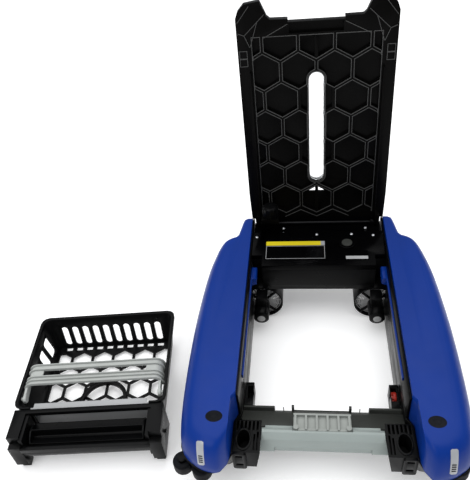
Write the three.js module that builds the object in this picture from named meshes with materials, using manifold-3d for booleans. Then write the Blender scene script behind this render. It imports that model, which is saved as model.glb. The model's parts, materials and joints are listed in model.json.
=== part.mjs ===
// Solar pool-surface skimmer: a twin-float robot with its lid standing open, and the debris
// basket that has been lifted out and set down beside it.
// Millimetres, +Z up. The front of the robot, where debris enters, faces -Y.
// Every sub-part is one named mesh. Outlines are drawn for the right side and mirrored.
import * as THREE from 'three';
import { mergeVertices } from 'three/addons/utils/BufferGeometryUtils.js';
import Module from 'manifold-3d';

const wasm = await Module();
wasm.setup();

// ---------------------------------------------------------------- driving dimensions
const GAP = 0.3;                       // clearance between touching pieces
const ROBOT_PLACE = [152.27, -22.42, 0]; // centre of the robot's bay in the part frame
const BASKET_PLACE = [-384, -76, 0];   // middle of the basket, from the robot's own centre
const BASKET_YAW = 5;                  // degrees, how the basket happens to stand

const BAY_HALF = 124;                  // half width of the bay between the floats
const SHELL_INNER = 128;               // inner edge of the blue float tops
const NOSE_INNER = 134;                // the same at the nose, beside the corner block
const FLOAT_BACK = 262;                // back end of the floats
const SEAM_Z = 92;                     // where the blue top meets the black hull
const SHELL_TOP = 150;                 // highest line of the floats
const FLANGE = 2.3;                    // how far the hull rim stands proud of the top

const ARM_PIVOT = [172, -221];         // vertical pivot of the corner roller arm
const ROLLER_R = 15;                   // corner guide roller
const ROLLER_FAR = 36;                 // pivot to outer roller
const ROLLER_NEAR = 18;                // pivot to inner roller
const ROLLER_SPREAD = 59;              // degrees between the two rollers
const ROLLER_Z = [59, 81];             // bottom and top of the rollers
const ARM_ANGLE = { left: -14, right: 51 };  // where each arm has come to rest

const HOUSING_FRONT = 121;             // front face of the rear housing
const DECK_Z = 142;                    // deck of the rear housing
const TROUGH_Z = 133;                  // lower step of the deck beside the hinge
const WING_Y = 150;                    // where the housing widens to the bay walls
const HOUSING_BACK = 258;
const THRUSTER_X = 108;                // thruster axis
const THRUSTER_Z = 42;
const GUARD_R = 40;

const HINGE_Y = 247;                   // lid hinge axis
const HINGE_Z = 141;
const LID_LIFT = 10;                   // lid underside above the hinge axis when closed
const LID_OPEN = 94;                   // degrees, leaning back on its stop
const LID_THICK = 14;
const LID_HALF = 131;
const HEX_PITCH = 60;                  // honeycomb ribs under the lid
const HEX_ROW = 51.5;
const HEX_RIB = 6;
const SLOT = { low: 91, high: 304, half: 13 };

const DRIVE_Y = -100;                  // basket drive coupling, in the right bay wall
const DRIVE_Z = 58;

const BASKET = { half: 125, floorHalf: 113, back: 130, floorBack: 120, front: -66, rim: 80,
  floor: 6, wall: 3 };
const PADDLE = { y: -98, z: 45, r: 22, half: 96, troughR: 29 };
const HANDLE_PIVOT = [-42, 72];        // y, z of the basket handle pivot
const FLAP_HINGE = [-64, 74];          // y, z of the debris flap hinge

const ROUND = 20;                      // facets of a round piece

// ---------------------------------------------------------------- finishes
function finish(color, roughness, metalness = 0) {
  return { color, roughness, metalness };
}
const BLUE = finish(0x0c3a96, 0.42);
const BLACK = finish(0x17181a, 0.5);
const GLOSS_BLACK = finish(0x0e0f10, 0.28);
const DARK_GREY = finish(0x3a3c3a, 0.6);
const LIGHT_GREY = finish(0xb4bab8, 0.55);
const CLEAR = finish(0xe8eef0, 0.12);
const LAMP = finish(0xcfd4d6, 0.2);
const RED = finish(0xb02a20, 0.45);
const RUBBER = finish(0x15171b, 0.75);
const STEEL = finish(0xb8bcc0, 0.3, 1);
const FOAM = finish(0xe6e4dc, 0.95);
const CELL = finish(0x10182c, 0.2);
const BATTERY = finish(0x2c4a78, 0.5);
const BOARD = finish(0x1c5a34, 0.6);
const LABEL = finish(0xd8c21a, 0.5);
const SILVER = finish(0xa9adb0, 0.35);

const group = new THREE.Group();
const robot = new THREE.Group();
const basket = new THREE.Group();
robot.position.set(...ROBOT_PLACE);
basket.position.set(...ROBOT_PLACE).add(new THREE.Vector3(...BASKET_PLACE));
basket.rotation.z = THREE.MathUtils.degToRad(BASKET_YAW);
group.add(robot, basket);

function place(parent, name, shape, look) {
  const geometry = toGeometry(shape);
  geometry.computeVertexNormals();
  const mesh = new THREE.Mesh(geometry, new THREE.MeshStandardMaterial(look));
  mesh.name = name;
  parent.add(mesh);
  return mesh;
}

// ---------------------------------------------------------------- joining and cutting
// Shared corners are merged while a shape still sits at its own origin.
function welded(geometry) {
  geometry.deleteAttribute('normal');
  geometry.deleteAttribute('uv');
  const merged = mergeVertices(geometry, 1e-4);
  const corners = merged.index.array;
  const kept = [];
  for (let i = 0; i < corners.length; i += 3) {
    const [a, b, c] = corners.slice(i, i + 3);
    if (a !== b && b !== c && c !== a) kept.push(a, b, c);
  }
  merged.setIndex(kept);
  return merged;
}

function toSolid(shape) {
  if (shape instanceof wasm.Manifold) return shape;
  return new wasm.Manifold(new wasm.Mesh({
    numProp: 3,
    vertProperties: new Float32Array(shape.attributes.position.array),
    triVerts: new Uint32Array(shape.index.array),
  }));
}

function toGeometry(shape) {
  if (shape instanceof THREE.BufferGeometry) return shape;
  const mesh = shape.getMesh();
  const geometry = new THREE.BufferGeometry();
  geometry.setAttribute('position', new THREE.BufferAttribute(mesh.vertProperties, 3));
  geometry.setIndex(new THREE.BufferAttribute(mesh.triVerts, 1));
  return geometry;
}

function join(...pieces) {
  return pieces.map(toSolid).reduce((sum, piece) => sum.add(piece));
}

function cut(base, ...tools) {
  return tools.map(toSolid).reduce((rest, tool) => rest.subtract(tool), toSolid(base));
}

function common(a, b) {
  return toSolid(a).intersect(toSolid(b));
}

function moved(shape, x, y, z) {
  return toGeometry(shape).clone().translate(x, y, z);
}

function mirrored(shape) {
  const copy = toGeometry(shape).clone().scale(-1, 1, 1);
  const corners = copy.index.array;
  for (let i = 0; i < corners.length; i += 3) {
    [corners[i + 1], corners[i + 2]] = [corners[i + 2], corners[i + 1]];
  }
  return copy;
}

// Both sides of the robot: the drawn right-hand piece and its mirror image.
function placePair(name, geometry, look) {
  place(robot, `${name}_right`, geometry, look);
  place(robot, `${name}_left`, mirrored(geometry), look);
}

// ---------------------------------------------------------------- basic shapes
function box(x0, x1, y0, y1, z0, z1) {
  const geometry = welded(new THREE.BoxGeometry(x1 - x0, y1 - y0, z1 - z0));
  return geometry.translate((x0 + x1) / 2, (y0 + y1) / 2, (z0 + z1) / 2);
}

function outline(points) {
  return new THREE.Shape(points.map(([x, y]) => new THREE.Vector2(x, y)));
}

// A flat outline in X and Y, raised from z0 to z1.
function prism(points, z0, z1) {
  const shape = points instanceof THREE.Shape ? points : outline(points);
  const options = { depth: z1 - z0, bevelEnabled: false, curveSegments: 8 };
  return welded(new THREE.ExtrudeGeometry(shape, options)).translate(0, 0, z0);
}

// An outline in Y and Z, run along X.
function alongX(points, x0, x1) {
  const geometry = prism(points, 0, x1 - x0);
  geometry.rotateX(Math.PI / 2).rotateZ(Math.PI / 2);
  return geometry.translate(x0, 0, 0);
}

// An outline in X and Z, run along Y.
function alongY(points, y0, y1) {
  return prism(points, 0, y1 - y0).rotateX(Math.PI / 2).translate(0, y1, 0);
}

function circle(cx, cy, r, count = ROUND) {
  return Array.from({ length: count }, (_, i) => {
    const turn = (2 * Math.PI * i) / count;
    return [cx + r * Math.cos(turn), cy + r * Math.sin(turn)];
  });
}

function oval(cx, cy, rx, ry, count = ROUND) {
  return circle(0, 0, 1, count).map(([x, y]) => [cx + rx * x, cy + ry * y]);
}

function roundedRect(x0, x1, y0, y1, r, steps = 3) {
  const corners = [[x1 - r, y1 - r, 0], [x0 + r, y1 - r, 90], [x0 + r, y0 + r, 180],
    [x1 - r, y0 + r, 270]];
  const points = [];
  for (const [cx, cy, start] of corners) {
    for (let i = 0; i <= steps; i += 1) {
      const turn = THREE.MathUtils.degToRad(start + (90 * i) / steps);
      points.push([cx + r * Math.cos(turn), cy + r * Math.sin(turn)]);
    }
  }
  return points;
}

// Equal-length rings of [x, y, z], stacked upwards and closed at both ends.
function loft(rings) {
  const count = rings[0].length;
  const corners = [];
  const flat = rings[0].map(([x, y]) => new THREE.Vector2(x, y));
  const lid = rings.at(-1).map(([x, y]) => new THREE.Vector2(x, y));
  for (const [a, b, c] of THREE.ShapeUtils.triangulateShape(flat, [])) corners.push(a, c, b);
  const top = (rings.length - 1) * count;
  for (const [a, b, c] of THREE.ShapeUtils.triangulateShape(lid, [])) {
    corners.push(top + a, top + b, top + c);
  }
  for (let level = 0; level + 1 < rings.length; level += 1) {
    for (let i = 0; i < count; i += 1) {
      const a = level * count + i;
      const b = level * count + ((i + 1) % count);
      corners.push(a, b, b + count, a, b + count, a + count);
    }
  }
  const geometry = new THREE.BufferGeometry();
  geometry.setAttribute('position', new THREE.Float32BufferAttribute(rings.flat(2), 3));
  geometry.setIndex(corners);
  geometry.computeVertexNormals();
  return geometry;
}

function ringAt(points, z) {
  return points.map(([x, y]) => [x, y, z]);
}

// A turned piece: a closed profile of [radius, height] spun about the Z axis.
function turned(profile, count = ROUND) {
  const points = profile.map(([r, z]) => new THREE.Vector2(r, z));
  return welded(new THREE.LatheGeometry(points, count)).rotateX(Math.PI / 2);
}

function rod(r, z0, z1, count = ROUND) {
  return turned([[0, z0], [r, z0], [r, z1], [0, z1]], count);
}

function tube(inner, outer, z0, z1, count = ROUND) {
  return turned([[inner, z0], [outer, z0], [outer, z1], [inner, z1], [inner, z0]], count);
}

// Turned pieces laid down along X or Y.
function layX(shape, y, z) {
  return toGeometry(shape).clone().rotateY(Math.PI / 2).translate(0, y, z);
}

function layY(shape, x, z) {
  return toGeometry(shape).clone().rotateX(-Math.PI / 2).translate(x, 0, z);
}

// ---------------------------------------------------------------- floats
// The float outline at one level. `width` squeezes it towards the bay, `nose` and `tail`
// draw its ends in, and `grow` lets the hull rim stand proud.
function floatOutline({ inner, noseInner, width = 1, nose = 0, tail = 0, grow = 0 }) {
  const side = [[137, -240], [149, -254], [167, -253], [184, -245], [202, -229], [209, -203],
    [213, -150], [214.5, -70], [213, 10], [207, 100], [199, 150], [190, 182], [179, 193],
    [167, 197], [159, 206], [156, 218], [151, 245], [148, 257]];
  const path = new THREE.SplineCurve(side.map(([x, y]) => new THREE.Vector2(x, y)));
  const rim = path.getPoints(22).map((point) => [point.x, point.y]);
  const closing = [[140, FLOAT_BACK], [inner, FLOAT_BACK], [inner, -160],
    [noseInner, -172], [noseInner, -222]];
  const shift = ([x, y], index) => {
    const noseShare = THREE.MathUtils.clamp((-150 - y) / 104, 0, 1);
    const tailShare = THREE.MathUtils.clamp((y - 200) / 62, 0, 1);
    const onInner = index > rim.length;
    const edge = Math.max(inner + (x - inner) * width + grow, inner + 1);
    const wide = onInner ? x : edge;
    return [wide, y + (nose - grow) * noseShare - (tail - grow) * tailShare];
  };
  return [...rim, ...closing].map(shift);
}

function floatSolid(levels, inner, noseInner) {
  return loft(levels.map(([z, width, nose, tail, grow = 0, inset = 0]) => ringAt(
    floatOutline({ inner: inner + inset, noseInner: noseInner + inset, width, nose, tail, grow }),
    z,
  )));
}

const SHELL_LEVELS = [[SEAM_Z + GAP, 1, 0, 0], [104, 1, 0, 0], [118, 0.985, 3, 1],
  [130, 0.95, 8, 2], [140, 0.885, 15, 4], [147, 0.78, 25, 7], [SHELL_TOP, 0.62, 38, 12]];
const SHELL_HOLLOW = [[SEAM_Z - 1, 0.96, 5, 4, 0, 2.6], [118, 0.945, 7, 5, 0, 2.6],
  [138, 0.85, 19, 8, 0, 2.6], [147.2, 0.6, 42, 16, 0, 2.6]];
const HULL_LEVELS = [[0, 0.8, 68, 20, 0, 12], [5, 0.9, 60, 8, 0, 6], [16, 0.97, 52, 2, 0, 1],
  [40, 1, 40, 0], [84, 1, 16, 0], [85.5, 1, 4, 0, FLANGE], [SEAM_Z - GAP, 1, 1, 0, FLANGE]];
const HULL_HOLLOW = [[3, 0.76, 74, 24, 0, 15], [16, 0.93, 58, 8, 0, 4],
  [40, 0.96, 46, 5, 0, 3], [SEAM_Z + 1, 0.96, 18, 5, 0, 3]];
const POCKET = { x: 157, y: -172, low: 55, high: 88.3 };
const GUARD_BAY = { x: 156, y: 118, high: 84 };
const TAIL_CUT = 196;
const WALL = 3;

const PLUG = { x: 155, y: -199, rx: 12.5, ry: 9.5 };
const LAMP_STRIP = { x0: 166, x1: 178, y0: -268, y1: -224 };

function makeFloats() {
  const hullOuter = floatSolid(HULL_LEVELS, BAY_HALF, NOSE_INNER - 2);
  const hullHollow = floatSolid(HULL_HOLLOW, BAY_HALF, NOSE_INNER - 2);
  const rollerWall = box(POCKET.x - WALL, 240, -280, POCKET.y + WALL, POCKET.low - WALL, SEAM_Z);
  const guardWall = box(110, GUARD_BAY.x + WALL, GUARD_BAY.y - WALL, 280, -1, SEAM_Z);
  const tailWall = box(110, 240, TAIL_CUT - WALL, 280, -1, SEAM_Z);
  const keep = common(hullOuter, join(rollerWall, guardWall, tailWall));
  const shaftHole = layX(rod(4, BAY_HALF - 2, BAY_HALF + 8), DRIVE_Y, DRIVE_Z);
  const hull = cut(
    join(cut(hullOuter, hullHollow), keep),
    box(POCKET.x, 240, -280, POCKET.y, POCKET.low, POCKET.high),
    box(110, GUARD_BAY.x, GUARD_BAY.y, 280, -1, GUARD_BAY.high),
    box(110, 240, TAIL_CUT, 280, -1, GUARD_BAY.high),
    moved(rod(2.8, 80, 91, 16), ...ARM_PIVOT, 0),
    shaftHole,
  );
  placePair('hull', common(hull, box(0, 300, -300, 300, -1, SEAM_Z - GAP)), BLACK);

  const shellOuter = floatSolid(SHELL_LEVELS, SHELL_INNER, NOSE_INNER);
  const shellHollow = floatSolid(SHELL_HOLLOW, SHELL_INNER, NOSE_INNER);
  const plugHole = prism(oval(PLUG.x, PLUG.y, PLUG.rx + GAP, PLUG.ry + GAP), 137, 160);
  const { x0, x1, y0, y1 } = LAMP_STRIP;
  const lampHole = box(x0 - GAP, x1 + GAP, y0, y1 + GAP, 99, 160);
  placePair('shell', cut(shellOuter, shellHollow, plugHole, lampHole), BLUE);

  const plug = common(shellOuter, prism(oval(PLUG.x, PLUG.y, PLUG.rx, PLUG.ry), 139, 160));
  placePair('nose_plug', plug, DARK_GREY);
  const lens = common(shellOuter, box(x0, x1, y0, y1, 99 + GAP, 160));
  placePair('lamp_lens', cut(lens, moved(shellHollow, 0, 0, 0.5)), LAMP);

  const foamLevels = [[8, 0.7, 0, 0, 0, 18], [20, 0.86, 0, 0, 0, 8], [88, 0.9, 0, 0, 0, 7],
    [118, 0.87, 0, 0, 0, 7], [136, 0.76, 0, 0, 0, 7]];
  const foam = cut(
    floatSolid(foamLevels, BAY_HALF, BAY_HALF),
    box(100, 240, -300, -157, -1, 200),
    box(100, 240, TAIL_CUT - 8, 300, -1, 200),
    box(100, GUARD_BAY.x + WALL + 2, GUARD_BAY.y - WALL - 2, 300, -1, SEAM_Z),
    box(100, 180, DRIVE_Y - 26, DRIVE_Y + 26, 30, 86),
  );
  placePair('float_foam', foam, FOAM);
}

// Inside edge of each float: a black rail, with a blue ledge that the lid rim meets.
function makeBayEdges() {
  placePair('bay_rail', alongY([[BAY_HALF + GAP, SEAM_Z], [SHELL_INNER - GAP, SEAM_Z],
    [SHELL_INNER - GAP, 143], [BAY_HALF + 1.6, 143], [BAY_HALF + GAP, 140]], -158, 260), BLACK);
  const strip = alongY([[121.4, 119], [124, 117], [124, 126], [121.4, 125]], -110, 104);
  const tab = alongY([[113.5, 112], [124, 108], [124, 126], [115, 126], [113.5, 124]], 103, 134);
  placePair('bay_ledge', join(strip, tab), BLUE);
}

// ---------------------------------------------------------------- corner guide rollers
function makeRollers() {
  const [px, py] = ARM_PIVOT;
  for (const side of ['right', 'left']) {
    const hand = side === 'right' ? 1 : -1;
    const base = ARM_ANGLE[side];
    const spots = [[ROLLER_FAR, base], [ROLLER_NEAR, base - ROLLER_SPREAD]].map(([r, angle]) => {
      const turn = THREE.MathUtils.degToRad(angle);
      return [px + r * Math.cos(turn), py + r * Math.sin(turn)];
    });
    const link = (ax, ay, bx, by, half) => {
      const length = Math.hypot(bx - ax, by - ay);
      const bar = box(0, length, -half, half, ROLLER_Z[1] + 1.2, ROLLER_Z[1] + 5);
      return bar.rotateZ(Math.atan2(by - ay, bx - ax)).translate(ax, ay, 0);
    };
    const plateZ = [ROLLER_Z[1] + 1.2, ROLLER_Z[1] + 5];
    const arm = join(
      moved(rod(6, ...plateZ, 16), px, py, 0),
      moved(rod(2.5, plateZ[0], 90.7, 10), px, py, 0),
      link(px, py, ...spots[0], 5),
      link(px, py, ...spots[1], 5),
      ...spots.map(([x, y]) => moved(rod(6, ...plateZ, 16), x, y, 0)),
      ...spots.map(([x, y]) => moved(rod(2.5, ROLLER_Z[0] - 2.2, plateZ[1], 10), x, y, 0)),
      ...spots.map(([x, y]) => moved(rod(4.5, ROLLER_Z[0] - 2.2, ROLLER_Z[0] - GAP, 10), x, y, 0)),
    );
    const handed = (geometry) => (hand === 1 ? geometry : mirrored(geometry));
    place(robot, `roller_arm_${side}`, handed(arm), BLACK);
    const [low, high] = ROLLER_Z;
    const profile = [[2.8, low], [ROLLER_R - 4, low], [ROLLER_R, low + 4],
      [ROLLER_R, high - 4], [ROLLER_R - 4, high], [2.8, high], [2.8, low]];
    spots.forEach(([x, y], index) => {
      const name = `guide_roller_${side}_${index === 0 ? 'outer' : 'inner'}`;
      place(robot, name, handed(moved(turned(profile, ROUND), x, y, 0)), RUBBER);
    });
  }
}

// ---------------------------------------------------------------- rear housing and drive
const WELL = { x0: -110, x1: -72, y0: 193, y1: 245, floor: 115 };

function housingOutline(inset = 0) {
  const narrow = BAY_HALF - 20.3 - inset;
  const wide = BAY_HALF - GAP - inset;
  return [[-narrow, HOUSING_FRONT + inset], [narrow, HOUSING_FRONT + inset],
    [narrow, WING_Y + inset], [wide, WING_Y + inset], [wide, HOUSING_BACK - inset],
    [-wide, HOUSING_BACK - inset], [-wide, WING_Y + inset], [-narrow, WING_Y + inset]];
}

const BUTTON = { x: 55, y: 180, r: 10, bezel: 16 };
const BACK_WALL_TOP = 143.4;           // just under the open lid's rear edge

function makeHousing() {
  const seam = 130.7;
  const tub = cut(
    prism(housingOutline(), 79, seam),
    prism(housingOutline(3), 82.5, seam + 1),
    box(-200, 200, HOUSING_FRONT - 1, HOUSING_FRONT + 1.5, 78, 91),
    layY(rod(GUARD_R + 1, 122, 164, 32), THRUSTER_X, THRUSTER_Z),
    layY(rod(GUARD_R + 1, 122, 164, 32), -THRUSTER_X, THRUSTER_Z),
  );
  place(robot, 'rear_housing', tub, BLACK);

  const plate = cut(
    prism(housingOutline(), seam + GAP, DECK_Z),
    prism(housingOutline(4), seam, DECK_Z - 3),
    box(-200, 200, 216, 300, TROUGH_Z, 200),
  );
  const shelf = common(prism(housingOutline(4), seam + GAP, TROUGH_Z), box(-200, 200, 211, 300, 0, 200));
  const wellOuter = box(WELL.x0 - 2, WELL.x1 + 2, WELL.y0 - 2, WELL.y1 + 2, WELL.floor - 2, TROUGH_Z);
  const wellRim = box(WELL.x0 - 2, WELL.x1 + 2, WELL.y0 - 2, 218, TROUGH_Z - 1, DECK_Z);
  const backWall = box(-103.5, 103.5, HOUSING_BACK - 3, HOUSING_BACK, TROUGH_Z - 1,
    BACK_WALL_TOP);
  const ear = join(
    box(104, 110, 240, 254, TROUGH_Z - 1, HINGE_Z),
    layX(rod(7, 104, 110), HINGE_Y, HINGE_Z),
  );
  const pinHole = layX(rod(2.8, -130, 130, 16), HINGE_Y, HINGE_Z);
  const deck = cut(
    join(plate, shelf, wellOuter, wellRim, backWall, ear, mirrored(ear)),
    box(WELL.x0, WELL.x1, WELL.y0, WELL.y1, WELL.floor, 160),
    pinHole,
    moved(rod(8, DECK_Z - 8, DECK_Z + 1), BUTTON.x, BUTTON.y, 0),
  );
  place(robot, 'rear_deck', deck, GLOSS_BLACK);
  place(robot, 'hinge_rod', layX(rod(2.5, -120.5, 120.5, 16), HINGE_Y, HINGE_Z), STEEL);

  place(robot, 'notice_plate', box(-99, 15, 137, 189, DECK_Z + GAP, DECK_Z + 1), LABEL);
  place(robot, 'rating_plate', box(34, 92, 136, 160, DECK_Z + GAP, DECK_Z + 1), SILVER);
  const bezel = turned([[10.6, DECK_Z + GAP], [BUTTON.bezel, DECK_Z + GAP], [15, DECK_Z + 3.4],
    [11.4, DECK_Z + 3.4], [10.6, DECK_Z + GAP]]);
  place(robot, 'button_bezel', moved(bezel, BUTTON.x, BUTTON.y, 0), GLOSS_BLACK);
  const button = turned([[0, DECK_Z - 6], [7.4, DECK_Z - 6], [7.4, DECK_Z + 1.8],
    [BUTTON.r, DECK_Z + 2.5], [BUTTON.r, DECK_Z + 3.8], [8.6, DECK_Z + 5], [0, DECK_Z + 5.4]]);
  place(robot, 'power_button', moved(button, BUTTON.x, BUTTON.y, 0), DARK_GREY);
  place(robot, 'battery_pack', box(-55, 60, 150, 236, 88, 112), BATTERY);
  place(robot, 'control_board', box(-52, 40, 132, 186, 118, 119.6), BOARD);
}

const POD = { nose: 80, back: 121, r: 14.5, bore: 12.8, shaftBore: 3.2 };
const GUARD = { front: 122, back: 160, wall: 2.6, hub: 9 };

function makeThrusters() {
  const noseY = POD.nose;
  const strut = alongY([[THRUSTER_X - 9, THRUSTER_Z], [THRUSTER_X + 7, THRUSTER_Z],
    [THRUSTER_X + 9, 78.6], [THRUSTER_X - 12, 78.6]], 98, 119.5);
  const foot = box(THRUSTER_X - 12, THRUSTER_X + 9, 98, 150, 73, 78.6);
  const pod = layY(tube(POD.bore, POD.r, noseY + 4, 116, 20), THRUSTER_X, THRUSTER_Z);
  const podBack = layY(tube(POD.shaftBore, POD.r, 116, POD.back, 20), THRUSTER_X, THRUSTER_Z);
  const hollow = layY(rod(POD.bore, noseY, 116, 20), THRUSTER_X, THRUSTER_Z);
  const clearGuard = layY(rod(GUARD_R + 0.6, 121.3, 170, 32), THRUSTER_X, THRUSTER_Z);
  const shaftRoom = layY(rod(POD.shaftBore, noseY, 125, 12), THRUSTER_X, THRUSTER_Z);
  const body = cut(join(cut(join(strut, foot), hollow, clearGuard), pod, podBack), shaftRoom);
  placePair('thruster_pod', body, BLACK);
  const cap = layY(turned([[0, noseY], [8, noseY], [POD.r, noseY + 2], [POD.r, noseY + 3.7],
    [0, noseY + 3.7]], 24), THRUSTER_X, THRUSTER_Z);
  placePair('pod_cap', cap, LIGHT_GREY);
  const motor = layY(rod(11.6, noseY + 6, 112, 20), THRUSTER_X, THRUSTER_Z);
  placePair('thruster_motor', motor, STEEL);

  const ring = layY(tube(GUARD_R - GUARD.wall, GUARD_R, GUARD.front, GUARD.back, 32),
    THRUSTER_X, THRUSTER_Z);
  const hub = layY(tube(POD.shaftBore, GUARD.hub, GUARD.front, GUARD.front + 6, 12), THRUSTER_X, THRUSTER_Z);
  const spoke = () => box(8, GUARD_R - 1, GUARD.front, GUARD.front + 5, -1.5, 1.5);
  const spokes = [45, 135, 225, 315].map((angle) => spoke()
    .rotateY(THREE.MathUtils.degToRad(angle)).translate(THRUSTER_X, 0, THRUSTER_Z));
  placePair('propeller_guard', join(ring, hub, ...spokes), BLACK);

  const hubP = turned([[0, 131], [8, 131], [9, 134], [9, 148], [4, 155], [0, 156]], 20);
  const shaft = rod(2.4, 113, 132, 12);
  const blade = (turn) => {
    const paddle = prism([[6, -5], [20, -13], [32, -15], [35.5, -6], [35.5, 6], [30, 12],
      [18, 8], [6, 5]], -1.4, 1.4);
    return paddle.rotateX(THREE.MathUtils.degToRad(24)).translate(0, 0, 141)
      .rotateZ(THREE.MathUtils.degToRad(turn));
  };
  const propeller = join(hubP, shaft, blade(0), blade(120), blade(240));
  placePair('propeller', layY(propeller, THRUSTER_X, THRUSTER_Z), LIGHT_GREY);
}

// ---------------------------------------------------------------- front end
const FRONT_Y = -226;
const LATCH_PIVOT = [-165, 84.5];      // y, z of the basket latch pin

function makeFront() {
  const beamHalf = BAY_HALF - GAP;
  const section = [[-126, 46], [-126, 67], [-129.5, 67], [-131, 60], [-140, 70], [-165, 80],
    [-171, 80], [-171, 46]];
  const notch = (x0, x1, floor) => box(x0, x1, -131, -120, floor, 90);
  const post = box(43, 47, -131, -126, 50, 71);
  const pin = box(59.4, 60.6, -129, -127.6, 50, 67);
  const beam = join(
    cut(alongX(section, -beamHalf, beamHalf), notch(47, 74, 54), notch(-74, -47, 54),
      notch(-43, 43, 57), box(-130, 130, -167, -131, 40, 52)),
    post, mirrored(post), pin, mirrored(pin),
    box(-24, -18, -171, -160, 76, 88), box(18, 24, -171, -160, 76, 88),
  );
  const latchPinHole = layX(rod(1.8, -30, 30, 12), ...LATCH_PIVOT);
  place(robot, 'front_beam', cut(beam, latchPinHole), DARK_GREY);
  place(robot, 'latch_pin', layX(rod(1.5, -30, 30, 12), ...LATCH_PIVOT), STEEL);

  const slant = (z) => 89.5 + (100 - z) * 0.18;
  const bar = loft([58, 70, 92, 100].map((z) => {
    const backY = { 58: -184, 70: -180, 92: -180, 100: -188 }[z];
    const frontY = { 58: -200, 70: -205, 92: -200, 100: -192 }[z];
    return ringAt([[-slant(z), frontY], [slant(z), frontY], [slant(z), backY],
      [-slant(z), backY]], z);
  }));
  const web = box(-86, 86, -182, -171.3, 62, 84);
  const grip = cut(join(bar, web), box(-44.5, 44.5, -188.5, -160, 82, 110),
    box(-72, 72, -220, -198, 50, 77));
  place(robot, 'front_handle', grip, LIGHT_GREY);

  const latchFront = -187;
  const latchBack = -159;
  const half = 43;
  const plate = box(-half, half, latchFront, latchBack, 92, 95);
  const ribs = [-40, -24, -8, 8, 24, 40]
    .map((x) => box(x - 1.6, x + 1.6, latchFront + 1, latchBack - 1, 94, 100));
  const rails = [box(-half, half, latchBack - 3, latchBack, 92, 100),
    box(-36, 36, latchFront, latchFront + 4, 92, 98)];
  const knobs = [-39, 39].map((x) => moved(rod(4, 92, 102, 16), x, latchFront + 4, 0));
  const lugs = [-28.3, 24.6].map((x) => join(
    layX(rod(4.2, x, x + 3.7, 16), ...LATCH_PIVOT),
    box(x, x + 3.7, -169, -161, LATCH_PIVOT[1], 93),
  ));
  const latch = cut(join(plate, ...ribs, ...rails, ...knobs, ...lugs),
    layX(rod(1.8, -50, 50, 12), ...LATCH_PIVOT));
  place(robot, 'basket_latch', latch, LIGHT_GREY);
}

const SOCKET = { x: 116, y: -205, rx: 9.5, ry: 15, floor: 68, collar: 101.5 };
const BLOCK_Z = [60, 100];
const TAB = { x0: 111.5, x1: 131.5, edge: 2.7, front: FRONT_Y - 4 };
const TIE_SLOTS = [[91.5, 96.5], [70, 75]];  // bottom and top of the two strap slots

function makeCorners() {
  const side = (z) => 90.5 + (100 - z) * 0.18;
  const outer = NOSE_INNER - 2 - GAP;
  const block = loft(BLOCK_Z.map((z) => ringAt([[side(z), FRONT_Y], [outer, FRONT_Y],
    [outer, -173], [side(z), -173]], z)));
  const socket = prism(oval(SOCKET.x, SOCKET.y, SOCKET.rx, SOCKET.ry), SOCKET.floor, 110);
  const grooves = [96, 102, 108, 114, 120, 126].map((x) => box(x - 1.7, x + 1.7, -190, -174.5, 88, 110));
  const collar = prism(oval(SOCKET.x, SOCKET.y, SOCKET.rx + 2.5, SOCKET.ry + 3), 84, SOCKET.collar);
  const sideGrooves = [box(93.6, 96.6, -222, -192, 90, 110), box(98.6, 101.4, -222, -196, 90, 110)];
  const face = roundedRect(TAB.x0, TAB.x1, BLOCK_Z[0], BLOCK_Z[1] + 1, 4);
  const slots = TIE_SLOTS.map(([z0, z1]) => roundedRect(116, 127, z0, z1, 1.8));
  const strapGap = box(TAB.x0 + TAB.edge, TAB.x1 - TAB.edge, FRONT_Y - 1, FRONT_Y + 2.6, 50, 97.5);
  const tab = cut(alongY(face, TAB.front, FRONT_Y + 0.5),
    ...slots.map((slot) => alongY(slot, FRONT_Y - 10, FRONT_Y + 4)));
  const body = cut(block, ...grooves, ...sideGrooves, strapGap);
  placePair('corner_block', cut(join(body, collar, tab), socket), BLACK);
}

function makeDriveBrackets() {
  const wall = BAY_HALF - GAP;
  const block = box(109.5, wall, -124.6, -81, 36, 66);
  const open = box(111.2, 119.6, -112, -88, 44, 70);
  const axleSlot = box(105, 112, DRIVE_Y - 4, DRIVE_Y + 4, DRIVE_Z - 6, 70);
  const shaftHole = layX(rod(4, 118, 126, 16), DRIVE_Y, DRIVE_Z);
  const right = cut(block, open, axleSlot, shaftHole);
  place(robot, 'drive_bracket_right', right, BLACK);
  place(robot, 'idler_bracket_left', mirrored(cut(block, open, axleSlot)), BLACK);

  const teeth = [0, 60, 120, 180, 240, 300].map((angle) => box(-1.8, 1.8, 4, 8.4, 111.8, 115)
    .rotateZ(THREE.MathUtils.degToRad(angle)));
  const coupling = join(rod(8.6, 114.8, 119, 24), rod(2.6, 118.5, 139, 12), ...teeth);
  place(robot, 'drive_coupling', layX(coupling, DRIVE_Y, DRIVE_Z), RED);
  const motor = join(box(141, 158, DRIVE_Y - 14, DRIVE_Y + 14, DRIVE_Z - 14, DRIVE_Z + 14),
    layX(rod(11, 157, 176, 20), DRIVE_Y, DRIVE_Z));
  place(robot, 'paddle_motor', cut(motor, layX(rod(3, 138, 150, 12), DRIVE_Y, DRIVE_Z)), STEEL);
}

// ---------------------------------------------------------------- lid
// Drawn closed: x across, y = minus the distance from the hinge, z = height above the underside.
function hexagon(cx, cy, r) {
  return Array.from({ length: 6 }, (_, i) => {
    const turn = THREE.MathUtils.degToRad(60 * i + 30);
    return [cx + r * Math.cos(turn), cy + r * Math.sin(turn)];
  });
}

function lidOutline() {
  const right = [[129, -4], [LID_HALF, -60], [LID_HALF, -398], [127, -409], [117, -420],
    [91, -424], [80, -399], [75, -394.5], [46, -394], [46, -389]];
  return [...right, ...right.map(([x, y]) => [-x, y]).reverse()].reverse();
}

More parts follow.
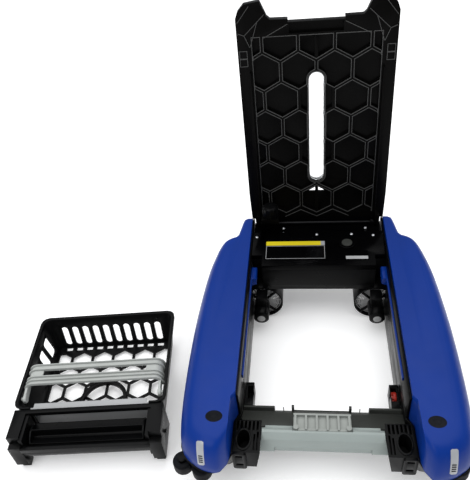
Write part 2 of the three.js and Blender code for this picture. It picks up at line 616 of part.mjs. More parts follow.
function makeLid() {
  const lid = new THREE.Group();
  lid.position.set(0, HINGE_Y, HINGE_Z);
  lid.rotation.x = -THREE.MathUtils.degToRad(LID_OPEN);
  robot.add(lid);
  const raise = (geometry) => moved(geometry, 0, 0, LID_LIFT);

  const cellR = (HEX_PITCH - HEX_RIB) / Math.sqrt(3);
  const cells = [];
  for (let row = 0; row < 7; row += 1) {
    const odd = row % 2;
    const xs = odd ? [-90, -30, 30, 90] : [-120, -60, 0, 60, 120];
    for (const x of xs) cells.push(prism(hexagon(x, -(50 + HEX_ROW * row), cellR), -1, 9));
  }
  const slotBorder = prism(roundedRect(-17, 17, -SLOT.high - 5, -SLOT.low + 5, 16.9, 6), -2, 10);
  const ribs = [box(-3, 3, -84, -14, -2, 10), box(-3, 3, -366, -330, -2, 10)];
  const pockets = cut(common(join(...cells), box(-106, 106, -367, -16, -2, 10)), slotBorder, ...ribs);
  const slot = prism(roundedRect(-SLOT.half, SLOT.half, -SLOT.high, -SLOT.low, 12.9, 6), -2, 30);
  const notches = [117.5, 172.6, 229, 281.5].map((s) => box(-16, 16, -s - 4, -s + 4, -2, 6));
  const triangle = prism([[3, -71], [19, -61], [3, -61]], -2, 30);
  const catchRecess = box(-44, 44, -387, -371, -2, 8);
  const flange = box(110, 112.5, -310, -30, -8, 1);
  const lug = join(
    layX(rod(5.8, 112, 119), 0, -LID_LIFT),
    box(112, 119, -20, 0, -LID_LIFT - 5.8, -LID_LIFT + 5.8),
    box(112, 119, -20, -6, -LID_LIFT, 3),
  );
  const boss = box(-108, -74, -22, -12, -31, 1);
  const body = cut(
    join(cut(prism(lidOutline(), 0, LID_THICK), pockets), flange, mirrored(flange),
      lug, mirrored(lug), boss),
    slot, ...notches, triangle, mirrored(triangle), catchRecess,
    layX(rod(2.8, -130, 130, 16), 0, -LID_LIFT),
    moved(rod(7, -30, 10, 16).rotateX(Math.PI / 2), -91, -12, -16),
  );
  place(lid, 'lid_frame', raise(body), GLOSS_BLACK);

  const panel = box(18, 122, -384, -22, LID_THICK + GAP, LID_THICK + 3.2);
  place(lid, 'solar_panel_right', raise(panel), CELL);
  place(lid, 'solar_panel_left', raise(mirrored(panel)), CELL);
  const inset = SLOT.half - GAP;
  const pane = prism(roundedRect(-inset, inset, -SLOT.high + GAP, -SLOT.low - GAP, 12.6, 6), 2, 5);
  const tabs = [117.5, 172.6, 229, 281.5].map((s) => box(-15.6, 15.6, -s - 3.6, -s + 3.6, 2, 5));
  place(lid, 'lid_window', raise(join(pane, ...tabs)), CLEAR);

  const nutTeeth = Array.from({ length: 12 }, (_, i) => box(14, 16, -1.1, 1.1, 0, 20)
    .rotateZ((2 * Math.PI * i) / 12));
  const nut = join(turned([[0, 0], [14.6, 0], [14.6, 20], [12, 23.5], [0, 25.5]], ROUND),
    ...nutTeeth);
  const neck = rod(6.6, -12, 1, 16);
  const gland = toGeometry(join(nut, neck)).rotateX(Math.PI / 2).translate(-91, -22.4, -16);
  place(lid, 'panel_cable_gland', raise(gland), BLACK);
}

// ---------------------------------------------------------------- debris basket
const FLOOR_PITCH = 40;                // honeycomb of the basket floor
const FLOOR_RIB = 5;
const BACK_SLOTS = { count: 10, pitch: 20, half: 6, z0: 14, z1: 60 };
const SIDE_HOLE_Y = [62, 92];

function basketTray() {
  const { half, floorHalf, back, floorBack, front, rim, floor, wall } = BASKET;
  const ring = (halfX, backY, frontY, r, z) => ringAt(roundedRect(-halfX, halfX, frontY, backY, r), z);
  const outer = loft([ring(floorHalf, floorBack, front, 8, floor), ring(half, back, front, 12, rim)]);
  const inner = loft([ring(floorHalf - wall, floorBack - wall, front + wall, 8, floor + wall),
    ring(half - wall, back - wall, front + wall, 12, rim + 1)]);
  const lip = cut(
    prism(roundedRect(-half - 2.5, half + 2.5, front, back + 2.5, 14), rim - 5, rim),
    prism(roundedRect(-half + wall, half - wall, front - 10, back - wall, 12), rim - 6, rim + 1),
  );
  const pitch = FLOOR_PITCH;
  const cells = [];
  for (let row = 0; row < 6; row += 1) {
    const xs = row % 2 ? [-80, -40, 0, 40, 80] : [-100, -60, -20, 20, 60, 100];
    for (const x of xs) {
      cells.push(prism(hexagon(x, 82 - row * pitch * 0.866, (pitch - FLOOR_RIB) / Math.sqrt(3)), -1, 14));
    }
  }
  const floorHoles = common(join(...cells), box(-106, 106, front + 7, 104, -1, 14));
  const { count, pitch: slotPitch, half: slotHalf, z0, z1 } = BACK_SLOTS;
  const slots = Array.from({ length: count }, (_, i) => {
    const x = (i - (count - 1) / 2) * slotPitch;
    return join(alongY(roundedRect(x - slotHalf, x + slotHalf, z0, z1, slotHalf - 0.1), 108, 140),
      box(x - slotHalf, x + slotHalf, 108, 116, -1, 16));
  });
  const sideHoles = SIDE_HOLE_Y.map((y) => alongX(roundedRect(y - 11, y + 11, 20, 62, 6), -140, 140));
  const frontOpening = box(-100, 100, front - 5, front + 6, floor + wall + 8, rim + 5);
  const tray = cut(join(cut(outer, inner), lip), floorHoles, ...slots, ...sideHoles, frontOpening);
  const foot = box(98, 109, 105, 115, 0, floor + 1);
  return join(tray, foot, mirrored(foot));
}

function makeBasket() {
  const { half, front, rim, floor } = BASKET;
  const { y, z, r, half: paddleHalf, troughR } = PADDLE;
  const handleHole = layX(rod(3.3, -140, 140, 16), ...HANDLE_PIVOT);
  place(basket, 'basket_tray', cut(basketTray(), handleHole), BLACK);

  // The paddle trough: an arc under the paddle, between two end blocks.
  const arc = [];
  for (let angle = 150; angle <= 345; angle += 15) {
    const turn = THREE.MathUtils.degToRad(angle);
    arc.push([y + troughR * Math.cos(turn), z + troughR * Math.sin(turn)]);
  }
  const inner = [...arc].reverse().map(([py, pz]) => [y + (py - y) * 0.9, z + (pz - z) * 0.9]);
  const trough = alongX([...arc, ...inner].reverse(), -104, 104);
  const drainHoles = [-75, -45, -15, 15, 45, 75].map((x) => prism(oval(x, y, 11, 8, 12), 0, 40));
  const endBlock = join(
    cut(box(104, 124, -128, front - GAP - 0.4, 14, 78), box(90, 140, -140, -118, 62, 90)),
    box(99, 105, -122, -72, 18, 74),
  );
  const foot = box(106, 120, -122, -108, 0, 15);
  const topBeam = box(-104, 104, -74, front - GAP - 0.4, 70, 78);
  const lip = box(-104, 104, y - troughR - 3, y - troughR + 3, 52, 60);
  const axleHole = layX(rod(3.4, -140, 140, 16), y, z);
  const paddleRoom = layX(rod(24.5, -98.5, 98.5, 32), y, z);
  const front_piece = cut(
    join(cut(trough, ...drainHoles), endBlock, mirrored(endBlock), foot, mirrored(foot), topBeam, lip),
    paddleRoom, axleHole,
  );
  place(basket, 'paddle_trough', front_piece, BLACK);

  const discs = [-94, 91].map((x) => rod(21, x, x + 3, 24));
  const blades = [0, 60, 120].map((angle) => box(-r, r, -0.9, 0.9, -93, 93)
    .rotateZ(THREE.MathUtils.degToRad(angle)));
  const paddle = join(rod(3, -127, 127, 16), rod(5.5, -93, 93, 16), ...discs, ...blades);
  place(basket, 'paddle_roller', layX(paddle, y, z), DARK_GREY);

  const ring = tube(36, 43, floor + 3 + GAP, floor + 11, 36);
  place(basket, 'floor_ring', moved(ring, 0, -14, 0), BLACK);

  // A flap hangs in the entry and swings inwards, so that debris can't drift back out.
  const [flapY, flapZ] = FLAP_HINGE;
  const flap = join(
    box(-97, 97, flapY - 1, flapY + 1, flapZ - 42, flapZ),
    layX(rod(2.2, -99, 99, 12), flapY, flapZ),
    box(-95, 95, flapY, flapY + 10, flapZ - 1, flapZ + 1),
  );
  place(basket, 'debris_flap', flap, SILVER);

  // Bail handle: two arms that turn on studs inside the tray walls, and a ribbed grip.
  const [pivotY, pivotZ] = HANDLE_PIVOT;
  const top = rim + 2.2;
  const outlinePoints = [[-117, -40], [-104, -40], [-96, -28], [-74, -20], [74, -20], [96, -28],
    [104, -40], [117, -40], [117, -4], [104, 16], [-104, 16], [-117, -4]];
  const strap = cut(prism(outlinePoints, top, top + 5), prism(roundedRect(-86, 86, -8, 4, 5.9), 0, 120));
  const ribs = [-17, -10, 7, 14].map((ry) => box(-102, 102, ry - 1.4, ry + 1.4, top + 4, top + 8));
  const arm = join(
    box(113, 117, pivotY - 5, -36, pivotZ - 4, top + 5),
    layX(rod(5, 113, 117), pivotY, pivotZ),
    layX(rod(2.9, 113, 126, 16), pivotY, pivotZ),
  );
  place(basket, 'basket_handle', join(strap, ...ribs, arm, mirrored(arm)), LIGHT_GREY);
}

makeFloats();
makeBayEdges();
makeRollers();
makeHousing();
makeThrusters();
makeFront();
makeCorners();
makeDriveBrackets();
makeLid();
makeBasket();

export default group;
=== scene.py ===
"""Looks for the solar pool-surface skimmer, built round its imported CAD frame.

Shapes are laid out in millimetres in the robot's, the lid's or the basket's own axes. The
robot's are x across, y towards the back and z up, from the middle of the debris bay. The
matrices ROBOT, LID and BASKET turn each into the frame's metres, and the materials, the floor
and the lights are in metres.
"""
import json
import math

import bmesh
import bpy
from mathutils import Matrix, Quaternion, Vector
from mathutils.bvhtree import BVHTree


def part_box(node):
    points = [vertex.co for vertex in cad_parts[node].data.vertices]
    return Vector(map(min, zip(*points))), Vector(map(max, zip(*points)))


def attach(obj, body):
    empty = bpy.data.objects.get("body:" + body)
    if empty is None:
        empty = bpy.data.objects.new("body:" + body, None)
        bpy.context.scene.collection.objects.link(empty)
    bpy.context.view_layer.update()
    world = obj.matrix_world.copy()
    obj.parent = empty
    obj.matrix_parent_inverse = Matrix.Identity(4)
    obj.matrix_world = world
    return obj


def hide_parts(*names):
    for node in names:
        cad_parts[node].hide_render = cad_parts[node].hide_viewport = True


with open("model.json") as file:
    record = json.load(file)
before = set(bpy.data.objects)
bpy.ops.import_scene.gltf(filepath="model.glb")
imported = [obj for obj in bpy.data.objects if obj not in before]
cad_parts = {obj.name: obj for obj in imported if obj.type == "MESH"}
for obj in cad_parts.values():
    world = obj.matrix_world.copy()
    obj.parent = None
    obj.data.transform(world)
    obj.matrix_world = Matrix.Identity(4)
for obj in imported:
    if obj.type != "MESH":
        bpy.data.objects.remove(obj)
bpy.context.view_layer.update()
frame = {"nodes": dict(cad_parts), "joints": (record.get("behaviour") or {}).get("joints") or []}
bpy.context.scene.view_settings.view_transform = "Standard"

MM = 0.001
SIDES = {"right": 1, "left": -1}
ROLLER_PLACES = ("outer", "inner")

# ---------------------------------------------------------------- places, read from the frame
joint = {j["name"]: j for j in frame["joints"]}
DECK_FRONT = 121                    # y of the rear deck's front edge
deck_low, deck_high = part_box("rear_deck")
ORIGIN = Vector(((deck_low.x + deck_high.x) / 2, deck_low.y - DECK_FRONT * MM, 0))
HINGE = Vector(joint["lid_hinge"]["pos_m"])
HINGE.x = ORIGIN.x
LID_OPEN = math.radians(94)         # how far the lid stands open at rest
LID_LIFT = 10                       # height of the shut lid's underside above the hinge axis
HANDLE_PIVOT = (-42, 72)            # y and z of the handle's pivot in the basket's axes
basket_axis = Vector(joint["handle_pivot"]["axis"])
BASKET_YAW = math.atan2(basket_axis.y, basket_axis.x)
basket_turn = Matrix.Rotation(BASKET_YAW, 4, "Z")
BASKET_ORIGIN = Vector(joint["handle_pivot"]["pos_m"]) - (
    basket_turn @ Vector((0, HANDLE_PIVOT[0] * MM, HANDLE_PIVOT[1] * MM)))

ROBOT = Matrix.Translation(ORIGIN) @ Matrix.Scale(MM, 4)
# Lid millimetres: x across, y minus the distance from the hinge, z height above the hinge
# axis while the lid is shut.
LID = Matrix.Translation(HINGE) @ Matrix.Rotation(-LID_OPEN, 4, "X") @ Matrix.Scale(MM, 4)
BASKET = Matrix.Translation(BASKET_ORIGIN) @ basket_turn @ Matrix.Scale(MM, 4)


# ---------------------------------------------------------------- mesh helpers
def prism(points, low, high):
    """A closed prism over an outline in x and y."""
    bm = bmesh.new()
    bottom = [bm.verts.new((x, y, low)) for x, y in points]
    top = [bm.verts.new((x, y, high)) for x, y in points]
    bm.faces.new(bottom[::-1])
    bm.faces.new(top)
    for i in range(len(points)):
        j = (i + 1) % len(points)
        bm.faces.new((bottom[i], bottom[j], top[j], top[i]))
    bmesh.ops.recalc_face_normals(bm, faces=bm.faces)
    return bm


def block(x0, x1, y0, y1, z0, z1):
    return prism([(x0, y0), (x1, y0), (x1, y1), (x0, y1)], z0, z1)


def loft(rings, closed=False):
    """Rings of 3D points with equal counts, joined in order, capped unless closed."""
    bm = bmesh.new()
    rows = [[bm.verts.new(p) for p in ring] for ring in rings]
    pairs = list(zip(rows, rows[1:])) + ([(rows[-1], rows[0])] if closed else [])
    for a, b in pairs:
        for i in range(len(a)):
            j = (i + 1) % len(a)
            bm.faces.new((a[i], a[j], b[j], b[i]))
    if not closed:
        bm.faces.new(rows[0][::-1])
        bm.faces.new(rows[-1])
    bmesh.ops.recalc_face_normals(bm, faces=bm.faces)
    return bm


def turned(profile, count=48):
    """A profile of (radius, height) pairs that closes on itself, spun about z."""
    rings = []
    for i in range(count):
        turn = 2 * math.pi * i / count
        rings.append([(r * math.cos(turn), r * math.sin(turn), z) for r, z in profile])
    return loft(rings, closed=True)


def moved(bm, matrix):
    bm.transform(matrix)
    return bm


def shift(x, y, z):
    return Matrix.Translation((x, y, z))


def merged(parts):
    bm = bmesh.new()
    for part in parts:
        mesh = bpy.data.meshes.new("part")
        part.to_mesh(mesh)
        bm.from_mesh(mesh)
        bpy.data.meshes.remove(mesh)
        part.free()
    return bm


def capsule(half_width, low, high, steps=12):
    """A slot outline along y, centred on x = 0, with round ends."""
    points = []
    for centre, start in ((high - half_width, 0), (low + half_width, 180)):
        for i in range(steps + 1):
            turn = math.radians(start + 180 * i / steps)
            points.append((half_width * math.cos(turn), centre + half_width * math.sin(turn)))
    return points


def offset(points, distance):
    """A closed outline moved inwards by a distance along its corner normals."""
    clean = [p for i, p in enumerate(points) if math.dist(p, points[i - 1]) > 0.05]
    count = len(clean)
    area = sum(clean[i - 1][0] * clean[i][1] - clean[i][0] * clean[i - 1][1] for i in range(count))
    hand = 1 if area > 0 else -1
    inner = []
    for i in range(count):
        before, here, after = clean[i - 1], clean[i], clean[(i + 1) % count]
        a = Vector((here[0] - before[0], here[1] - before[1])).normalized()
        b = Vector((after[0] - here[0], after[1] - here[1])).normalized()
        normal = (Vector((-a.y, a.x)) + Vector((-b.y, b.x))) * hand
        if normal.length < 0.2:
            normal = Vector((-a.y, a.x)) * hand
        normal.normalize()
        bite = distance / max(0.5, abs(normal.dot(Vector((-a.y, a.x)))))
        inner.append((here[0] + normal.x * bite, here[1] + normal.y * bite))
    return clean, inner


def wall(points, thickness, low, high):
    """A thin closed wall that follows an outline, from height low to high."""
    outer, inner = offset(points, thickness)
    rings = []
    for o, i in zip(outer, inner):
        rings.append([(*o, low), (*o, high), (*i, high), (*i, low)])
    return loft(rings, closed=True)


def shade(mesh, angle=35):
    mesh.shade_smooth()
    mesh.set_sharp_from_angle(angle=math.radians(angle))


def piece(name, bm, matrix, body, material, replaces=(), bevel=0.0, segments=2):
    """A finished Blender piece: placed in the frame, bevelled, shaded and riding on its body."""
    bm.transform(matrix)
    mesh = bpy.data.meshes.new(name)
    bm.to_mesh(mesh)
    bm.free()
    mesh.materials.append(material)
    shade(mesh)
    made = bpy.data.objects.new(name, mesh)
    bpy.context.scene.collection.objects.link(made)
    if bevel:
        add_bevel(made, bevel * MM, segments)
    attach(made, body)
    if replaces:
        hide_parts(*replaces)
    return made


def add_bevel(made, width, segments=2):
    bevel = made.modifiers.new("bevel", "BEVEL")
    bevel.width = width
    bevel.segments = segments
    bevel.limit_method = "ANGLE"
    bevel.angle_limit = math.radians(32)
    bevel.harden_normals = True


# ---------------------------------------------------------------- materials
class Nodes:
    """A small wrapper that keeps the material functions short."""

    def __init__(self, name):
        self.material = bpy.data.materials.new(name)
        self.material.use_nodes = True
        self.tree = self.material.node_tree
        self.surface = self.tree.nodes["Principled BSDF"]
        self.place = self.new("ShaderNodeTexCoord").outputs["Object"]

    def new(self, kind, **settings):
        node = self.tree.nodes.new(kind)
        for key, value in settings.items():
            setattr(node, key, value)
        return node

    def link(self, source, target):
        self.tree.links.new(source, target)

    def noise(self, scale, detail, stretch=None):
        node = self.new("ShaderNodeTexNoise")
        node.inputs["Scale"].default_value = scale
        node.inputs["Detail"].default_value = detail
        place = self.place
        if stretch:
            mapping = self.new("ShaderNodeMapping")
            mapping.inputs["Scale"].default_value = stretch
            self.link(place, mapping.inputs["Vector"])
            place = mapping.outputs["Vector"]
        self.link(place, node.inputs["Vector"])
        return node.outputs["Fac"]

    def ramp(self, fac, low, high, start=0.35, end=0.65):
        node = self.new("ShaderNodeValToRGB")
        node.color_ramp.elements[0].position = start
        node.color_ramp.elements[1].position = end
        node.color_ramp.elements[0].color = (*low, 1)
        node.color_ramp.elements[1].color = (*high, 1)
        self.link(fac, node.inputs["Fac"])
        return node.outputs["Color"]

    def spread(self, fac, low, high):
        node = self.new("ShaderNodeMapRange")
        node.inputs["From Min"].default_value = 0.3
        node.inputs["From Max"].default_value = 0.7
        node.inputs["To Min"].default_value = low
        node.inputs["To Max"].default_value = high
        self.link(fac, node.inputs["Value"])
        return node.outputs["Result"]

    def bump(self, height, strength, distance):
        node = self.new("ShaderNodeBump")
        node.inputs["Strength"].default_value = strength
        node.inputs["Distance"].default_value = distance
        self.link(height, node.inputs["Height"])
        return node.outputs["Normal"]

    def added(self, a, b):
        node = self.new("ShaderNodeMix", data_type="RGBA", blend_type="ADD")
        node.inputs["Factor"].default_value = 1.0
        colors = [socket for socket in node.inputs if socket.type == "RGBA"]
        for source, socket in zip((a, b), colors):
            self.link(source, socket)
        return next(socket for socket in node.outputs if socket.type == "RGBA")


def scaled(color, factor):
    return tuple(min(1.0, c * factor) for c in color)


def plastic(name, color, roughness, grain, depth, specular, vary=0.12, coat=0.0):
    """Moulded plastic: slow colour drift, a fine tool-grain bump and a scuffed roughness."""
    n = Nodes(name)
    n.link(n.ramp(n.noise(9, 4), scaled(color, 1 - vary), scaled(color, 1 + vary)),
           n.surface.inputs["Base Color"])
    n.link(n.spread(n.noise(45, 6), roughness * 0.85, min(1.0, roughness * 1.2)),
           n.surface.inputs["Roughness"])
    n.link(n.bump(n.noise(grain, 2), depth, 0.0002), n.surface.inputs["Normal"])
    n.surface.inputs["Specular IOR Level"].default_value = specular
    n.surface.inputs["Coat Weight"].default_value = coat
    n.surface.inputs["Coat Roughness"].default_value = 0.12
    return n.material


def metal(name, color, roughness, stretch=(1, 1, 40)):
    n = Nodes(name)
    lines = n.noise(60, 5, stretch)
    n.link(n.ramp(lines, scaled(color, 0.85), scaled(color, 1.1)), n.surface.inputs["Base Color"])
    n.link(n.spread(lines, roughness * 0.7, roughness * 1.4), n.surface.inputs["Roughness"])
    n.link(n.bump(lines, 0.08, 0.0002), n.surface.inputs["Normal"])
    n.surface.inputs["Metallic"].default_value = 1.0
    return n.material


def rubber(name, color):
    n = Nodes(name)
    n.link(n.ramp(n.noise(25, 5), scaled(color, 0.7), scaled(color, 1.5)),
           n.surface.inputs["Base Color"])
    n.link(n.spread(n.noise(70, 5), 0.5, 0.75), n.surface.inputs["Roughness"])
    n.link(n.bump(n.noise(700, 4), 0.35, 0.0003), n.surface.inputs["Normal"])
    n.surface.inputs["Specular IOR Level"].default_value = 0.1
    return n.material


def clear(name):
    n = Nodes(name)
    n.link(n.ramp(n.noise(12, 3), (0.93, 0.94, 0.95), (0.99, 0.99, 0.99)),
           n.surface.inputs["Base Color"])
    n.link(n.spread(n.noise(80, 4), 0.12, 0.22), n.surface.inputs["Roughness"])
    n.link(n.bump(n.noise(300, 2), 0.05, 0.0002), n.surface.inputs["Normal"])
    n.surface.inputs["Transmission Weight"].default_value = 0.85
    n.surface.inputs["IOR"].default_value = 1.3
    return n.material


def cells(name):
    """Solar glass over dark cells: a grid of square cells with fine collector lines."""
    n = Nodes(name)
    grid = n.new("ShaderNodeTexBrick", offset=0.0, squash=1.0)
    grid.inputs["Scale"].default_value = 1.0
    grid.inputs["Brick Width"].default_value = 0.052
    grid.inputs["Row Height"].default_value = 0.052
    grid.inputs["Mortar Size"].default_value = 0.0012
    grid.inputs["Color1"].default_value = (0.004, 0.009, 0.03, 1)
    grid.inputs["Color2"].default_value = (0.006, 0.012, 0.04, 1)
    grid.inputs["Mortar"].default_value = (0.22, 0.24, 0.27, 1)
    spin = n.new("ShaderNodeMapping")
    spin.inputs["Rotation"].default_value = (math.pi / 2 - math.radians(4), 0, 0)
    n.link(n.place, spin.inputs["Vector"])
    n.link(spin.outputs["Vector"], grid.inputs["Vector"])
    lines = n.new("ShaderNodeTexWave", bands_direction="X")
    lines.inputs["Scale"].default_value = 55
    n.link(spin.outputs["Vector"], lines.inputs["Vector"])
    thin = n.ramp(lines.outputs["Fac"], (0, 0, 0), (0.05, 0.055, 0.065), 0.93, 0.97)
    n.link(n.added(grid.outputs["Color"], thin), n.surface.inputs["Base Color"])
    n.link(n.spread(n.noise(30, 4), 0.08, 0.2), n.surface.inputs["Roughness"])
    n.surface.inputs["Coat Weight"].default_value = 0.6
    n.surface.inputs["Coat Roughness"].default_value = 0.05
    return n.material


def foam(name):
    n = Nodes(name)
    bubbles = n.new("ShaderNodeTexVoronoi")
    bubbles.inputs["Scale"].default_value = 260
    n.link(n.place, bubbles.inputs["Vector"])
    n.link(n.ramp(bubbles.outputs["Distance"], (0.85, 0.83, 0.77), (0.6, 0.58, 0.52), 0.1, 0.7),
           n.surface.inputs["Base Color"])
    n.link(n.bump(bubbles.outputs["Distance"], 0.6, 0.001), n.surface.inputs["Normal"])
    n.surface.inputs["Roughness"].default_value = 0.95
    return n.material


def studio_floor(name):
    n = Nodes(name)
    n.link(n.ramp(n.noise(0.8, 3), (0.90, 0.90, 0.90), (0.94, 0.94, 0.94)),
           n.surface.inputs["Base Color"])
    n.surface.inputs["Roughness"].default_value = 0.9
    n.surface.inputs["Specular IOR Level"].default_value = 0.1
    n.surface.inputs["Emission Color"].default_value = (1, 1, 1, 1)
    n.surface.inputs["Emission Strength"].default_value = 0.25
    return n.material


BLUE = plastic("blue_shell", (0.0012, 0.024, 0.19), 0.36,
               grain=1400, depth=0.06, specular=0.12, vary=0.05)
BLACK = plastic("black_plastic", (0.0025, 0.0026, 0.0028), 0.3, grain=900, depth=0.12, specular=0.07)
GLOSS = plastic("gloss_black", (0.0008, 0.0008, 0.001), 0.24, grain=1500, depth=0.06, specular=0.04)
LID_BLACK = plastic("lid_black", (0.0016, 0.0015, 0.0014), 0.3, grain=1200, depth=0.08, specular=0.045)
# The lid's ribs are its own black plastic; this lighter grey is a painted highlight along their edges.
RIB_PAINTED_HIGHLIGHT = plastic("rib_painted_highlight", (0.04, 0.04, 0.039), 0.34, grain=1200, depth=0.08, specular=0.35)
DARK = plastic("dark_grey", (0.03, 0.032, 0.029), 0.5, grain=800, depth=0.25, specular=0.15)
GREY = plastic("light_grey", (0.25, 0.285, 0.273), 0.5, grain=800, depth=0.2, specular=0.3, vary=0.05)
LATCH_GREY = plastic("latch_grey", (0.235, 0.25, 0.235), 0.48,
                     grain=800, depth=0.2, specular=0.3, vary=0.06)
GRIP_GREY = plastic("grip_grey", (0.36, 0.375, 0.36), 0.48,
                    grain=800, depth=0.2, specular=0.3, vary=0.06)
RED = plastic("red_plastic", (0.30, 0.02, 0.012), 0.4, grain=900, depth=0.1, specular=0.3, vary=0.08)
YELLOW = plastic("notice_yellow", (0.55, 0.45, 0.012), 0.45,
                 grain=700, depth=0.05, specular=0.15, vary=0.04)
SILVER = plastic("silver_strip", (0.33, 0.335, 0.34), 0.32,
                 grain=700, depth=0.08, specular=0.4, vary=0.08)
PALE = plastic("lamp_lining", (0.30, 0.31, 0.33), 0.25,
               grain=500, depth=0.05, specular=0.4, vary=0.1, coat=0.3)
SCREEN = plastic("screen_grey", (0.30, 0.30, 0.30), 0.5, grain=600, depth=0.1, specular=0.3, vary=0.06)
BLUE_WRAP = plastic("battery_wrap", (0.02, 0.05, 0.17), 0.4, grain=400, depth=0.1, specular=0.4)
GREEN = plastic("circuit_board", (0.01, 0.08, 0.02), 0.45, grain=300, depth=0.1, specular=0.4)
STEEL = metal("steel", (0.55, 0.56, 0.58), 0.28)
DARK_STEEL = metal("dark_steel", (0.02, 0.02, 0.021), 0.45)
RUBBER = rubber("roller_rubber", (0.0022, 0.0026, 0.0042))
CLEAR = clear("clear_plastic")
CELLS = cells("solar_cells")
FOAM = foam("float_foam")


# ---------------------------------------------------------------- carried-over CAD nodes
def dress(node, material, bevel):
    """A better surface for a CAD node: its material, and modifiers that only soften its edges."""
    made = frame["nodes"][node]
    made.data.materials.clear()
    made.data.materials.append(material)
    shade(made.data)
    if bevel:
        weld = made.modifiers.new("weld", "WELD")
        weld.merge_threshold = 0.02 * MM
        flat = made.modifiers.new("flat", "DECIMATE")
        flat.decimate_type = "DISSOLVE"
        flat.angle_limit = math.radians(0.5)
        add_bevel(made, bevel * MM)


def pair(*names):
    return [f"{name}_{side}" for name in names for side in SIDES]


# Each row is a material, the edge bevel in millimetres and the nodes that wear them.
FINISHES = [
    (BLACK, 0.8, pair("hull")),
    (BLUE, 0.5, pair("shell", "bay_ledge")),
    (BLACK, 0.4, pair("bay_rail", "thruster_pod", "propeller_guard", "corner_block", "roller_arm")),
    (BLACK, 0.5, ["rear_housing", "drive_bracket_right", "idler_bracket_left"]),
    (GLOSS, 0.6, ["rear_deck", "button_bezel"]),
    (LID_BLACK, 0.5, ["lid_frame"]),
    (BLACK, 0.4, ["basket_tray", "paddle_trough", "floor_ring", "panel_cable_gland",
                  "paddle_roller", *pair("pod_cap")]),
    (DARK, 0.4, ["power_button", "front_beam", *pair("nose_plug")]),
    (GREY, 1.0, ["front_handle"]),
    (GRIP_GREY, 0.4, ["basket_handle", *pair("propeller")]),
    (LATCH_GREY, 0.4, ["basket_latch"]),
    (CLEAR, 0.3, ["lid_window"]),
    (PALE, 0.2, pair("lamp_lens")),
    (RED, 0.3, ["drive_coupling"]),
    (RUBBER, 0.4, [f"guide_roller_{side}_{place}" for side in SIDES for place in ROLLER_PLACES]),
    (DARK_STEEL, 0.2, ["hinge_rod"]),
    (STEEL, 0.2, ["latch_pin", "paddle_motor", *pair("thruster_motor")]),
    (FOAM, 0, pair("float_foam")),
    (CELLS, 0.3, pair("solar_panel")),
    (BLUE_WRAP, 2, ["battery_pack"]),
    (GREEN, 0, ["control_board"]),
    (YELLOW, 0, ["notice_plate"]),
    (SILVER, 0.2, ["rating_plate", "debris_flap"]),
]
for finish, bevel_mm, names in FINISHES:
    for node_name in names:
        dress(node_name, finish, bevel_mm)


# ---------------------------------------------------------------- float tops
SHELL_INNER = 128                   # x of the edge beside the bay
NOSE_INNER = 134                    # x of that edge along the nose
NOSE_EDGE_Y = (-172, -197, -222)
BAY_FRONT, FLOAT_BACK = -160, 262   # y where the straight bay edge starts and ends
BACK_CORNER_X = 140
BAY_STEPS = 14
# The rim as x and y, from the inner side of the nose round the outside to the tail.
RIM = [(137, -240), (149, -254), (167, -253), (184, -245), (202, -229), (209, -203),
       (213, -150), (214.5, -70), (213, 10), (207, 100), (199, 150), (190, 182), (179, 193),
       (167, 197), (159, 206), (156, 218), (151, 245), (148, 257)]
# The dome as levels: height, share of the full width, and set-backs of the nose and the tail.
CROWN = [(92.3, 1, 0, 0), (104, 1, 0, 0), (118, 0.985, 3, 1), (130, 0.95, 8, 2),
         (140, 0.885, 15, 4), (147, 0.78, 25, 7), (150, 0.62, 38, 12)]
NOSE_START, NOSE_LENGTH = -150, 104
TAIL_START, TAIL_LENGTH = 200, 62
SMOOTH_STEPS = 4


def catmull(points, steps):
    """A smooth curve through the points, with a fixed number of steps between neighbours."""
    last = len(points) - 1
    curve = []
    for i in range(last):
        p0, p1, p2, p3 = (Vector(points[k]) for k in (max(i - 1, 0), i, i + 1, min(i + 2, last)))
        for step in range(steps):
            t = step / steps
            curve.append(0.5 * (2 * p1 + (p2 - p0) * t + (2 * p0 - 5 * p1 + 4 * p2 - p3) * t * t
                                + (3 * p1 - p0 - 3 * p2 + p3) * t ** 3))
    curve.append(Vector(points[-1]))
    return curve


def float_ring(z, width, nose, tail):
    """The float's outline at one height, drawn in towards the bay, the nose and the tail."""
    rim = [tuple(p) for p in catmull(RIM, SMOOTH_STEPS)]
    bay_edge = [(BACK_CORNER_X, FLOAT_BACK)]
    for i in range(BAY_STEPS + 1):
        bay_edge.append((SHELL_INNER, FLOAT_BACK - i * (FLOAT_BACK - BAY_FRONT) / BAY_STEPS))
    bay_edge += [(NOSE_INNER, y) for y in NOSE_EDGE_Y]
    ring = []
    for index, (x, y) in enumerate(rim + bay_edge):
        nose_share = min(1, max(0, (NOSE_START - y) / NOSE_LENGTH))
        tail_share = min(1, max(0, (y - TAIL_START) / TAIL_LENGTH))
        if index <= len(rim):
            x = max(SHELL_INNER + (x - SHELL_INNER) * width, SHELL_INNER + 1)
        ring.append((x, y + nose * nose_share - tail * tail_share, z))
    return ring


def mirror(points, hand):
    return [(x * hand, *rest) for x, *rest in points]


PLUG_PLACE = (155, -199)
PLUG_SIZE = (12.5, 9.5)             # half length and half width of the oval
LAMP_X = (166.5, 177.5)
LAMP_RAY = Vector((0, 0.6, -0.8))   # the lens is laid on the nose along this direction
LAMP_SPAN = (-102, -137)            # where it starts and ends, square to that direction
LAMP_RISE, LAMP_DEPTH = 0.45, -2
LED_COUNT, LED_START, LED_PITCH, LED_WIDTH = 4, 4, 3, 1.6
LED_INSET = 2.2
LED_RISE, LED_DEPTH = 0.75, -0.5
RAY_START = 400                     # how far off the float a ray sets out


def surface_point(tree, start, direction, lift):
    """Where a ray meets the float top, raised by a small amount back along the ray."""
    hit = tree.ray_cast(start, direction)[0]
    return hit - direction * lift


